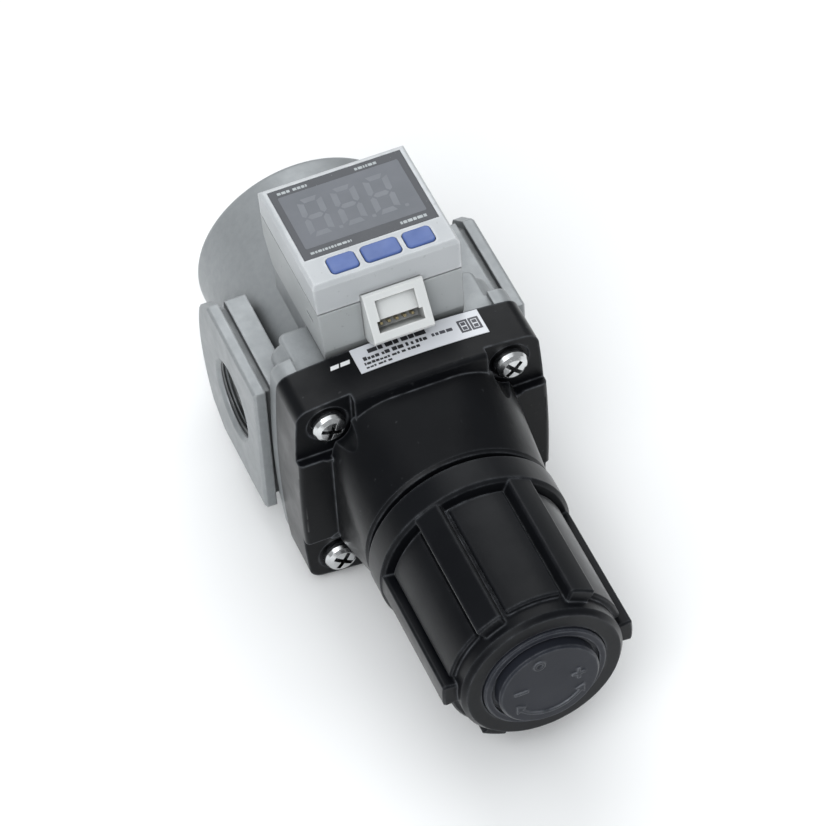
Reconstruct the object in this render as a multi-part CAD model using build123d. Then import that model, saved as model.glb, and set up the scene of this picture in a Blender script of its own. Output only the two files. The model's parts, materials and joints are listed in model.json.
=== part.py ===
from build123d import *
import math
import os

# Manifold pressure regulator with a built-in digital pressure switch.
# Row frame, millimetres: it lies on its flat back face.  +Z is up, out through
# the display; the adjusting knob points to -Y; the supply ports lie along X.
# The origin is the centre of the outlet port's mouth in the back face.
# The pieces are drawn about the adjusting axis (x = 0, z = 0 along Y) and are
# lifted by H_AXIS when they are written.

# ---- driving dimensions -------------------------------------------------
H_AXIS = 25.0            # back face to adjusting axis
W_BODY = 53.0            # over the two side interface faces
Y_JOINT = -18.0          # bonnet to body joint
Y_CAP_END = 32.0         # end of the drum
R_DRUM = 21.3            # drum radius
PORT_R = 7.475           # tapped port wall radius (3/8 taper thread, minor)
PORT_L = 12.0            # tapped length, supply ports
OUT_L = 9.0              # tapped length, outlet port

SIDE_Z = 15.5            # half height of the side interface
SIDE_Y0 = -14.0          # knob side edge of the side interface
SIDE_PTS = ((9.8, 15.5), (14.6, 11.4), (16.2, 0.0), (12.3, -12.2), (7.0, -15.5))   # cap side of it
SIDE_Y1 = 10.4           # cap side end of the block behind the lip
LIP_T = 2.3              # lip thickness of the side interface
GROOVE_W = 1.3           # groove behind the lip
GROOVE_D = 1.5           # groove depth
BLOCK_IN = 18.8          # inner wall of the side block

SQ_CX, SQ_BX = 23.2, 24.3    # bonnet outline, half width at its corners and at mid side
SQ_CZ, SQ_BZ = 22.5, 24.1    # and half height
Y_FLANGE = -27.4         # floor of the bonnet's screw pockets
Y_RECESS = -27.0         # seat of the screw heads
Y_SHOULDER = -29.3       # front plane of the bonnet's plate
Y_TOWER = -44.5          # end of the bonnet's tower
TOWER_X, TOWER_Z = 17.8, 21.3    # tower half sizes at its base
R_TOWER = 18.0           # tower radius at its end
R_NECK = 14.8            # neck inside the knob's skirt
Y_NECK = -52.0           # end of the neck
POCKET_X = 12.8          # inner walls of the screw pockets
POCKET_Z = 10.8
SCREW_X, SCREW_Z = 17.5, 18.0    # bonnet screws, half spacings
SCREW_HEAD_R = 3.15
SCREW_HEAD_H = 2.8

TEETH = 24               # lock teeth
TOOTH_H = 0.75
LOCK_GAP = 0.85          # push from rest to fully locked
PULL_OUT = 2.0           # pull from rest to fully out

KNOB_Y0 = -45.7          # knob collar, bonnet side
KNOB_Y1 = -51.9          # collar to ribbed grip
KNOB_Y2 = -78.8          # end of the grip
KNOB_Y3 = -81.6          # end ring
R_COLLAR = 18.3
R_RIB = 18.0
R_PANEL = 16.5
R_SLOT = 15.3
R_DISC = 9.45            # centre disc of the knob's end, and its plane
Y_DISC = -84.1

SHAFT_R = 4.0            # adjusting screw, plain part
THREAD_R = 5.0           # adjusting screw, threaded part
RUN = 0.05               # running clearance, radial
PITCH = 1.5              # left-hand adjusting thread
TURNS = 4.0              # knob turns from free to full load
CHAMBER = 10.2           # half width of the square spring chamber
NUT_Y0 = -46.8           # nut at rest, knob side
NUT_T = 6.0

SEAT_Y = -8.5            # valve seat plane
ORIFICE_R = 5.0
GUIDE_R = 11.0           # valve guide bore

SW_X = 14.05             # switch housing half width at the display
SW_XB = 13.3             # and at its base
SW_TOP = 39.5            # display plane above the adjusting axis
SW_BASE = 22.0           # housing base plane
WIN = (-12.8, 12.8, -8.6, 9.6)   # display window
SPLIT_Z = 33.0           # case to cover parting plane
WALL = 1.4

BUTTONS = {              # x centre, half width
    "button_left": (-6.9, 2.65),
    "button_center": (0.4, 3.45),
    "button_right": (7.6, 2.65),
}
BUTTON_Y = -11.75
BUTTON_HY = 2.0
BUTTON_TRAVEL = 0.3

LABEL_X = (-9.3, 15.3)
LABEL_Y = (-24.2, -18.25)
LABEL_T = 0.15


# ---- helpers ------------------------------------------------------------
def box(x0, x1, y0, y1, z0, z1):
    return Pos((x0 + x1) / 2, (y0 + y1) / 2, (z0 + z1) / 2) * Box(x1 - x0, y1 - y0, z1 - z0)


def cyl_x(r, x0, x1, y=0.0, z=0.0):
    return Pos((x0 + x1) / 2, y, z) * Rot(0, 90, 0) * Cylinder(r, x1 - x0)


def cyl_y(r, y0, y1, x=0.0, z=0.0):
    return Pos(x, (y0 + y1) / 2, z) * Rot(90, 0, 0) * Cylinder(r, y1 - y0)


def cyl_z(r, z0, z1, x=0.0, y=0.0):
    return Pos(x, y, (z0 + z1) / 2) * Cylinder(r, z1 - z0)


def rev(pts):
    """Turned piece about the Y axis from (radius, y) points."""
    return revolve(make_face(Polyline(*[(p[0], p[1]) for p in pts], close=True)), Axis.Y, 360)


def prism_y(face_xz, y0, y1):
    """Extrude a face drawn in (x, z) from y0 to y1."""
    return Pos(0, y1, 0) * Rot(90, 0, 0) * extrude(face_xz, amount=y1 - y0)


def prism_x(face_yz, x0, x1):
    """Extrude a face drawn in (y, z) from x0 to x1."""
    pl = Plane(origin=(x0, 0, 0), x_dir=(0, 1, 0), z_dir=(1, 0, 0))
    return extrude(pl * face_yz, amount=x1 - x0)


def poly(pts):
    return make_face(Polyline(*pts, close=True))


def rrect_prism_z(x0, x1, y0, y1, z0, z1, r):
    sk = Pos((x0 + x1) / 2, (y0 + y1) / 2, z0) * RectangleRounded(x1 - x0, y1 - y0, r)
    return extrude(sk, amount=z1 - z0)


def solid_of(shape):
    """The one solid of a boolean result."""
    s = shape.solids()
    if len(s) != 1:
        print("WARNING", len(s), "solids", [round(x.volume, 2) for x in s])
    return max(s, key=lambda x: x.volume)


def bulged(d=0.0, r=2.8):
    """Square outline with four crowned sides, inset by d."""
    cx, bx, cz, bz = [v - d for v in (SQ_CX, SQ_BX, SQ_CZ, SQ_BZ)]
    w = [
        ThreePointArc((-cx, cz), (0, bz), (cx, cz)),
        ThreePointArc((cx, cz), (bx, 0), (cx, -cz)),
        ThreePointArc((cx, -cz), (0, -bz), (-cx, -cz)),
        ThreePointArc((-cx, -cz), (-bx, 0), (-cx, cz)),
    ]
    f = make_face(w)
    return fillet(f.vertices(), r)


def side_outline(d=0.0):
    """Side interface outline in (y, z): square knob side, shaped cap side."""
    p = SIDE_PTS
    w = [
        Line((SIDE_Y0, -SIDE_Z), (SIDE_Y0, SIDE_Z)),
        Line((SIDE_Y0, SIDE_Z), p[0]),
        Line(p[0], p[1]),
        ThreePointArc(p[1], p[2], p[3]),
        Line(p[3], p[4]),
        Line(p[4], (SIDE_Y0, -SIDE_Z)),
    ]
    f = make_face(w)
    return offset(f, amount=-d, kind=Kind.INTERSECTION) if d else f


def hex_prism_y(af, y0, y1):
    return prism_y(RegularPolygon(af / 2, 6, major_radius=False), y0, y1)


def helix_spring(r, wire, y0, y1, coils):
    """Compression spring about the Y axis, flat-ground ends left as cut coils."""
    h = (y1 - y0) - wire
    path = Helix(pitch=h / coils, height=h, radius=r)
    start = path @ 0
    tang = path % 0
    sec = Plane(origin=start, z_dir=tang) * Circle(wire / 2)
    s = sweep(sec, path=path, is_frenet=True)
    # helix runs along +Z: turn it onto +Y
    return Pos(0, y0 + wire / 2, 0) * Rot(-90, 0, 0) * s


PARTS = {}


def keep(name, *solids):
    """Lift the solids onto the row frame and store them under a node name."""
    up = [Pos(0, 0, H_AXIS) * s for s in solids]
    PARTS[name] = up[0] if len(up) == 1 else Compound(up)


# ---- body casting -------------------------------------------------------
def make_body():
    hw = W_BODY / 2
    drum = rev([(0, -9.0), (R_DRUM, -9.0), (R_DRUM, Y_CAP_END), (0, Y_CAP_END)])
    drum = fillet(drum.edges().filter_by(GeomType.CIRCLE).sort_by(Axis.Y)[-1], 1.4)
    flange = prism_y(bulged(0.4, 2.6), Y_JOINT, -14.2)
    flange -= box(-19.0, 19.0, Y_JOINT - 1, -13.0, 21.6, 30)
    core = box(-20.6, 20.6, Y_JOINT + 0.5, -9.0, -20.0, 14.5)
    core = fillet(core.edges().filter_by(Axis.Y), 2.5)
    pad = box(-19.0, 19.0, Y_JOINT + 0.4, -7.0, 5.0, 21.6)
    pad = fillet(pad.edges().filter_by(Axis.Z), 1.6)
    pad = fillet(pad.edges().group_by(Axis.Z)[-1], 0.7)
    body = drum + flange + core + pad
    # platform under the switch
    plat = box(-13.3, 13.3, -8.0, 9.2, 8.0, SW_BASE - 0.05)
    plat = fillet(plat.edges().filter_by(Axis.Z), 1.2)
    body += plat
    # side blocks, groove necks and lips
    for s in (-1, 1):
        xs = sorted((s * BLOCK_IN, s * (hw - LIP_T - GROOVE_W)))
        blk = prism_x(side_outline(), xs[0], xs[1]) & box(-30, 30, -30, SIDE_Y1, -30, 30)
        inner = sorted((s * 12.0, s * (BLOCK_IN + 0.5)))
        link = prism_x(side_outline(4.5), inner[0], inner[1])
        xn = sorted((s * (hw - LIP_T - GROOVE_W - 0.3), s * (hw - LIP_T + 0.3)))
        neck = prism_x(side_outline(GROOVE_D), xn[0], xn[1])
        xl = sorted((s * (hw - LIP_T), s * hw))
        lip = prism_x(side_outline(), xl[0], xl[1])
        lip = chamfer(lip.faces().sort_by(Axis.X)[0 if s < 0 else -1].edges(), 0.45)
        body = body + blk + link + neck + lip
    # corner bosses for the bonnet screws
    for sx in (-1, 1):
        for sz in (-1, 1):
            body += cyl_y(3.5, -16.0, -9.2, sx * SCREW_X, sz * SCREW_Z)
    # back mounting pad
    back = box(-15.5, 15.5, -16.5, 16.0, -H_AXIS, -8.0)
    back = fillet(back.edges().filter_by(Axis.Z), 3.0)
    back = chamfer(back.edges().group_by(Axis.Z)[0], 0.5)
    body += back
    # bores: diaphragm recess, control chamber, orifice, guide bore
    body -= rev([(0, Y_JOINT - 1), (20.0, Y_JOINT - 1), (20.0, -17.0), (15.5, -17.0),
                 (15.5, -12.5), (ORIFICE_R, -12.5), (ORIFICE_R, SEAT_Y), (GUIDE_R, SEAT_Y + 0.001),
                 (GUIDE_R, 22.0), (14.0, 22.0), (14.0, Y_CAP_END + 1), (0, Y_CAP_END + 1)])
    # raised valve seat lip
    body += rev([(ORIFICE_R, SEAT_Y - 0.5), (ORIFICE_R + 1.1, SEAT_Y - 0.5), (ORIFICE_R + 0.55, SEAT_Y + 0.7),
                 (ORIFICE_R, SEAT_Y + 0.7)])
    # supply ports, left and right, and their passages
    for s in (-1, 1):
        a = sorted((s * (hw - PORT_L), s * (hw + 1)))
        body -= cyl_x(PORT_R, a[0], a[1])
        b = sorted((s * 8.0, s * (hw - PORT_L + 0.5)))
        body -= cyl_x(6.4, b[0], b[1])
        # mouth chamfer
        cone = Pos(s * (hw - 0.35), 0, 0) * Rot(0, 90 * s, 0) * Cone(PORT_R, PORT_R + 0.75, 0.75)
        body -= cone
    # outlet port in the back face and its passage to the control chamber
    body -= cyl_z(PORT_R, -H_AXIS - 1, -H_AXIS + OUT_L)
    body -= box(-4.5, 4.5, -15.0, -3.5, -H_AXIS + OUT_L - 2.2, -H_AXIS + OUT_L)
    # pressure tap to the switch
    body -= cyl_z(1.5, 13.0, SW_BASE + 1, 0, -10.0)
    body -= cyl_z(3.2, 18.4, SW_BASE + 1, 0, -10.0)
    body -= cyl_y(1.4, -13.0, -8.6, 0, 13.9)
    # tapped holes for the bonnet screws and the switch screws
    for sx in (-1, 1):
        for sz in (-1, 1):
            body -= cyl_y(2.02, Y_JOINT - 1, -9.6, sx * SCREW_X, sz * SCREW_Z)
    for sx in (-1, 1):
        body -= cyl_z(1.52, 16.0, SW_BASE + 1, sx * 9.9, 4.6)
    # small cast rib and wrench flat marks on the drum's end ring
    for k in range(6):
        a = math.radians(30 + 60 * k)
        body -= cyl_y(1.2, Y_CAP_END - 1.2, Y_CAP_END + 1, 17.6 * math.cos(a), 17.6 * math.sin(a))
    keep("body_casting", solid_of(body))


# ---- bonnet -------------------------------------------------------------
def make_bonnet():
    # corner flange under the screw heads, and the plate between the pockets
    flange = prism_y(bulged(), Y_FLANGE, Y_JOINT)
    flange = chamfer(flange.faces().sort_by(Axis.Y)[0].edges(), 2.2)
    plate = prism_y(bulged(), Y_SHOULDER, Y_JOINT)
    plate = fillet(plate.faces().sort_by(Axis.Y)[0].edges(), 0.9)
    # raised rims along the pockets' inner sides
    for sx in (-1, 1):
        for sz in (-1, 1):
            rim = Pos(sx * (POCKET_X - 1.0 + 4.5), Y_SHOULDER + 0.3, sz * (POCKET_Z - 1.0 + 5.3)) * Rot(90, 0, 0) * extrude(
                RectangleRounded(9.0, 10.6, 3.9), amount=0.75)
            plate += chamfer(rim.faces().sort_by(Axis.Y)[0].edges(), 0.3)
    # tower: rounded square that turns into a round
    zd = (0, -1, 0)
    base = Plane(origin=(0, Y_SHOULDER + 0.5, 0), x_dir=(1, 0, 0), z_dir=zd) * RectangleRounded(
        2 * TOWER_X, 2 * TOWER_Z, 12.0)
    top = Plane(origin=(0, Y_TOWER + 0.6, 0), x_dir=(1, 0, 0), z_dir=zd) * RectangleRounded(
        2 * R_TOWER, 2 * R_TOWER, R_TOWER - 0.05)
    tower = loft([base, top])
    tower += rev([(0, Y_TOWER + 0.61), (R_TOWER, Y_TOWER + 0.61), (R_TOWER - 0.45, Y_TOWER), (0, Y_TOWER)])
    # screw pockets in the plate, and driver flutes up the tower's corners
    for sx in (-1, 1):
        for sz in (-1, 1):
            pk = Pos(sx * (POCKET_X + 20), Y_FLANGE, sz * (POCKET_Z + 20)) * Rot(90, 0, 0) * extrude(
                RectangleRounded(40, 40, 4.2), amount=40)
            plate -= pk
            tower -= cyl_y(SCREW_HEAD_R + 0.75, -50, -20, sx * SCREW_X, sz * SCREW_Z)
    bon = plate + tower
    bon += flange
    neck = rev([(0, Y_TOWER + 1), (R_NECK, Y_TOWER + 1), (R_NECK, Y_NECK), (0, Y_NECK)])
    bon += neck
    # lock teeth on the neck's end
    tw = (360.0 / TEETH / 2 - 0.9) / 2
    for k in range(TEETH):
        a = 360.0 / TEETH * k
        bon += tooth_wedge(a, tw, 12.2, 14.6, Y_NECK - TOOTH_H, Y_NECK + 0.3)
    # spring chamber, diaphragm room, neck bore
    ch = box(-CHAMBER, CHAMBER, -49.0, Y_JOINT + 1, -CHAMBER, CHAMBER)
    ch = fillet(ch.edges().filter_by(Axis.Y), 2.2)
    bon -= ch
    bon -= cyl_y(16.2, -23.4, Y_JOINT + 1)
    bon -= cyl_y(SHAFT_R + RUN, -56, -48)
    # relief: breather hole in the lower side of the tower
    bon -= Pos(0, -33.0, -14.0) * Cylinder(1.0, 20)
    # screw clearance holes
    for sx in (-1, 1):
        for sz in (-1, 1):
            bon -= cyl_y(2.25, Y_FLANGE - 1, Y_JOINT + 1, sx * SCREW_X, sz * SCREW_Z)
            bon -= cyl_y(SCREW_HEAD_R + 0.75, Y_FLANGE - 1, Y_RECESS, sx * SCREW_X, sz * SCREW_Z)
    keep("bonnet", solid_of(bon))


def tooth_wedge(a_deg, half_deg, r0, r1, y0, y1):
    """A radial tooth about the Y axis, centred on the angle a_deg."""
    pts = []
    for r, s in ((r0, -1), (r1, -1), (r1, 1), (r0, 1)):
        a = math.radians(a_deg + s * half_deg)
        pts.append((r * math.cos(a), r * math.sin(a)))
    return prism_y(poly(pts), y0, y1)


def make_bonnet_screws():
    out = []
    for sx in (-1, 1):
        for sz in (-1, 1):
            yh = Y_RECESS
            s = rev([(0, yh), (SCREW_HEAD_R, yh), (SCREW_HEAD_R, yh - 1.5), (SCREW_HEAD_R - 0.35, yh - 2.15),
                     (SCREW_HEAD_R - 1.1, yh - 2.65), (SCREW_HEAD_R - 2.2, yh - SCREW_HEAD_H), (0, yh - SCREW_HEAD_H)])
            s += rev([(0, yh - 0.2), (2.0, yh - 0.2), (2.0, -10.6), (1.6, -10.0), (0, -10.0)])
            # cross recess, turned a little on each screw
            turn = {(-1, -1): 35, (-1, 1): 20, (1, -1): 62, (1, 1): 48}[(sx, sz)]
            cr = None
            for q in (0, 90):
                b = Rot(0, turn + q, 0) * box(-2.0, 2.0, yh - SCREW_HEAD_H - 1, yh - SCREW_HEAD_H + 1.6, -0.42, 0.42)
                cr = b if cr is None else cr + b
            s -= cr
            out.append(solid_of(Pos(sx * SCREW_X, 0, sz * SCREW_Z) * s))
    keep("bonnet_screws", *out)


# ---- knob ---------------------------------------------------------------
def make_knob():
    # outer skin: collar, panels and end ring
    k = rev([(0, KNOB_Y0), (R_COLLAR - 0.5, KNOB_Y0), (R_COLLAR, KNOB_Y0 - 0.5), (R_COLLAR, KNOB_Y1 + 0.6),
             (R_COLLAR - 0.7, KNOB_Y1), (R_SLOT, KNOB_Y1), (R_SLOT, KNOB_Y2), (R_SLOT, KNOB_Y2 - 1.8),
             (R_SLOT - 0.8, KNOB_Y3), (0, KNOB_Y3)])
    # panels and ribs over the slot cylinder
    yt, ye = KNOB_Y1 + 0.3, KNOB_Y2
    rib_h, slot = 8.5, 2.6
    for n in range(6):
        a = 60.0 * n
        rib = tooth_arc(a, rib_h, R_SLOT - 0.6, R_RIB, ye - 0.35, yt)
        k += rib
        pan = tooth_arc(a + 30, 30 - rib_h - slot, R_SLOT - 0.6, R_PANEL, ye + 0.9, KNOB_Y1 - 1.0)
        k += pan
    # skirt bore, tooth shoulder, hub and grip hollow
    k -= cyl_y(15.05, -53.65, KNOB_Y0 + 1)
    k -= rev([(7.2, -56.2), (13.4, -56.2), (13.4, -79.4), (7.2, -79.4)])
    # seat of the end cap
    k -= cyl_y(11.7, KNOB_Y3 - 1, -79.4 + 0.001)
    # room for the retaining ring when the knob is pushed in
    k -= cyl_y(6.5, -54.7, -53.0)
    # drive socket, and counterbore over the retaining screw
    k -= hex_prism_y(7.1, -80, -50)
    k -= cyl_y(5.0, -82, -73.35)
    # lock teeth that face the neck
    tw = (360.0 / TEETH / 2 - 0.9) / 2
    pitch = 360.0 / TEETH
    for n in range(TEETH):
        k += tooth_wedge(pitch * (n + 0.5), tw, 12.2, 14.6, -53.9, -53.65 + TOOTH_H)
    keep("knob", solid_of(k))


def tooth_arc(a_deg, half_deg, r0, r1, y0, y1):
    """A ring segment about the Y axis with rounded long edges."""
    a0, a1 = math.radians(a_deg - half_deg), math.radians(a_deg + half_deg)
    am = math.radians(a_deg)

    def p(r, a):
        return (r * math.cos(a), r * math.sin(a))

    w = [
        Line(p(r0, a0), p(r1, a0)),
        ThreePointArc(p(r1, a0), p(r1, am), p(r1, a1)),
        Line(p(r1, a1), p(r0, a1)),
        ThreePointArc(p(r0, a1), p(r0, am), p(r0, a0)),
    ]
    s = prism_y(make_face(w), y0, y1)
    e = [x for x in s.edges().filter_by(Axis.Y) if math.hypot(x.center().X, x.center().Z) > (r0 + r1) / 2]
    s = fillet(e, min(0.55, (r1 - r0) * 0.4))
    e2 = [x for x in s.faces().sort_by(Axis.Y)[0].edges() if math.hypot(x.center().X, x.center().Z) > (r0 + r1) / 2]
    try:
        s = chamfer(e2, 0.35)
    except Exception:
        pass
    return s


def make_knob_cap():
    y = -79.45
    c = rev([(0, y), (11.55, y), (11.55, -82.0), (11.25, -82.3), (10.15, -82.3), (10.15, -81.5), (R_DISC, -81.5),
             (R_DISC, Y_DISC + 0.4), (R_DISC - 0.4, Y_DISC), (0, Y_DISC)])
    # snap ring that grips the hub
    c += rev([(7.3, y - 0.3), (8.3, y - 0.3), (8.3, y + 2.6), (7.3, y + 2.6)])
    c -= rev([(0, -79.0), (0, -80.4), (5.4, -80.4), (5.4, -79.0)])
    # embossed turn arrow, plus / minus and ring marks, generic
    ye, yi = Y_DISC - 0.25, Y_DISC + 0.15
    c += tooth_ring_segment(6.7, 7.3, 218, 322, ye, yi)
    for s in (-1, 1):
        a = math.radians(270 + s * 52)
        tip = (7.0 * math.cos(a + s * 0.24), 7.0 * math.sin(a + s * 0.24))
        b0 = (8.1 * math.cos(a), 8.1 * math.sin(a))
        b1 = (5.9 * math.cos(a), 5.9 * math.sin(a))
        c += prism_y(poly([tip, b0, b1]), ye, yi)
    c += box(-6.7, -4.1, ye, yi, 0.2, 0.8)
    c += box(4.1, 6.7, ye, yi, 0.2, 0.8)
    c += box(5.1, 5.7, ye, yi, -0.8, 1.8)
    c += Pos(-1.9, 0, 6.3) * rev([(0.55, ye), (1.1, ye), (1.1, yi), (0.55, yi)])
    keep("knob_cap", solid_of(c))


def tooth_ring_segment(r0, r1, a0, a1, y0, y1):
    a0, a1 = math.radians(a0), math.radians(a1)
    am = (a0 + a1) / 2

    def p(r, a):
        return (r * math.cos(a), r * math.sin(a))

    w = [
        Line(p(r0, a0), p(r1, a0)),
        ThreePointArc(p(r1, a0), p(r1, am), p(r1, a1)),
        Line(p(r1, a1), p(r0, a1)),
        ThreePointArc(p(r0, a1), p(r0, am), p(r0, a0)),
    ]
    return prism_y(make_face(w), y0, y1)


# ---- adjusting train ----------------------------------------------------
def make_adjusting():
    s = rev([(0, -29.0), (THREAD_R - 0.8, -29.0), (THREAD_R, -29.8), (THREAD_R, -46.95), (7.6, -46.95),
             (7.6, -48.95), (SHAFT_R, -48.95), (SHAFT_R, -53.0), (0, -53.0)])
    s += hex_prism_y(7.0, -75.4, -52.6)
    s -= rev([(3.3, -52.35), (4.5, -52.35), (4.5, -53.2), (3.3, -53.2)])
    s -= cyl_y(1.55, -76, -64)
    keep("adjusting_screw", solid_of(s))

    ring = rev([(3.32, -52.37), (6.0, -52.37), (6.0, -53.18), (3.32, -53.18)])
    ring -= box(-1.6, 1.6, -54, -52, 0, 8)
    keep("retaining_ring", solid_of(ring))

    r = rev([(0, -75.45), (4.6, -75.45), (4.6, -76.4), (3.6, -76.4), (3.6, -78.0), (0, -78.0)])
    r += rev([(0, -75.6), (1.5, -75.6), (1.5, -66.0), (0, -66.0)])
    r -= box(-2.6, 2.6, -79, -77.2, -0.5, 0.5)
    keep("knob_retaining_screw", solid_of(r))

    n = box(-CHAMBER + 0.15, CHAMBER - 0.15, NUT_Y0, NUT_Y0 + NUT_T, -CHAMBER + 0.15, CHAMBER - 0.15)
    n = fillet(n.edges().filter_by(Axis.Y), 2.4)
    n = chamfer(n.edges().group_by(Axis.Y)[0], 0.5)
    n += cyl_y(6.9, NUT_Y0 + NUT_T - 0.2, NUT_Y0 + NUT_T + 2.2)
    n -= cyl_y(THREAD_R + RUN, -60, -20)
    keep("adjusting_nut", solid_of(n))

    spring = helix_spring(8.5, 2.4, NUT_Y0 + NUT_T + 0.02, -21.52, 3.6)
    keep("regulating_spring", solid_of(spring))


# ---- diaphragm assembly -------------------------------------------------
def make_diaphragm():
    d = rev([(3.2, -18.0), (12.6, -18.0), (13.4, -18.9), (14.6, -18.9), (15.4, -18.0), (19.8, -18.0), (19.8, -17.0),
             (15.6, -17.0), (14.9, -17.9), (13.1, -17.9), (12.3, -17.0), (3.2, -17.0)])
    keep("diaphragm", solid_of(d))
    seat = rev([(3.2, -18.02), (12.2, -18.02), (12.2, -20.4), (11.2, -21.5), (6.9, -21.5), (6.9, -23.4), (6.2, -24.0),
                (5.0, -24.0), (5.0, -20.2), (3.2, -20.2)])
    keep("spring_seat", solid_of(seat))
    plate = rev([(3.2, -16.98), (12.0, -16.98), (12.0, -15.9), (3.2, -15.9)])
    keep("diaphragm_plate", solid_of(plate))
    rel = rev([(0.9, -15.88), (5.6, -15.88), (5.6, -14.9), (2.4, -14.9), (2.4, -15.2), (0.9, -15.2)])
    rel += rev([(0.9, -15.6), (3.15, -15.6), (3.15, -20.22), (4.6, -20.22), (4.2, -20.9), (0.9, -20.9)])
    keep("relief_seat", solid_of(rel))


# ---- valve --------------------------------------------------------------
def make_valve():
    st = rev([(0, -15.17), (1.4, -15.17), (1.8, -14.7), (1.8, -7.9), (2.9, -7.6), (2.9, -6.3), (6.4, -6.3),
              (6.4, -5.4), (3.95, -5.4), (3.95, 13.0), (3.4, 13.6), (0, 13.6)])
    keep("valve_stem", solid_of(st))
    ru = rev([(2.93, SEAT_Y + 0.75), (7.5, SEAT_Y + 0.75), (7.5, -5.42), (6.43, -5.42), (6.43, -6.33), (2.93, -6.33)])
    keep("valve_seal", solid_of(ru))
    g = rev([(4.0, 5.0), (6.8, 5.0), (6.8, 9.0), (10.9, 9.0), (10.9, 22.2), (13.9, 22.2), (13.9, 31.2), (13.3, 31.8),
             (0, 31.8), (0, 16.0), (4.0, 16.0)])
    g -= rev([(9.2, 14.0), (12.0, 14.0), (12.0, 16.6), (9.2, 16.6)])
    g -= rev([(4.0, 7.0), (5.4, 7.0), (5.4, 8.6), (4.0, 8.6), (3.0, 8.6), (3.0, 7.0)])
    g -= hex_prism_y(14.0, 27.5, 33)
    keep("valve_guide", solid_of(g))
    keep("guide_o_ring", solid_of(Pos(0, 15.3, 0) * Rot(90, 0, 0) * Torus(10.08, 0.86)))
    keep("stem_o_ring", solid_of(Pos(0, 7.8, 0) * Rot(90, 0, 0) * Torus(4.7, 0.66)))
    vs = helix_spring(5.75, 1.0, -5.35, 4.95, 4.5)
    keep("valve_spring", solid_of(vs))


# ---- digital pressure switch --------------------------------------------
def switch_profile(d=0.0):
    """Side profile of the housing in (y, z)."""
    zt = SW_TOP - max(0.9, d + 0.25)
    p = [(-16.7 + d, SW_BASE + d), (-17.1 + d, 24.3), (-15.3 + d, zt), (-14.7 + d, SW_TOP - d),
         (10.3 - d, SW_TOP - d), (11.2 - d, zt), (11.8 - d, 27.3), (8.9 - d, SW_BASE + d)]
    return poly(p)


def switch_form(d=0.0):
    """Housing form inset by d: side profile and drafted side walls."""
    side = prism_x(switch_profile(d), -20, 20)
    front = prism_y(poly([(-SW_XB + d, SW_BASE - 1), (-SW_X + d, SW_TOP - 0.7), (-SW_X + 0.55 + d, SW_TOP + 0.01),
                          (SW_X - 0.55 - d, SW_TOP + 0.01), (SW_X - d, SW_TOP - 0.7), (SW_XB - d, SW_BASE - 1)]), -30, 30)
    return side & front


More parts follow.
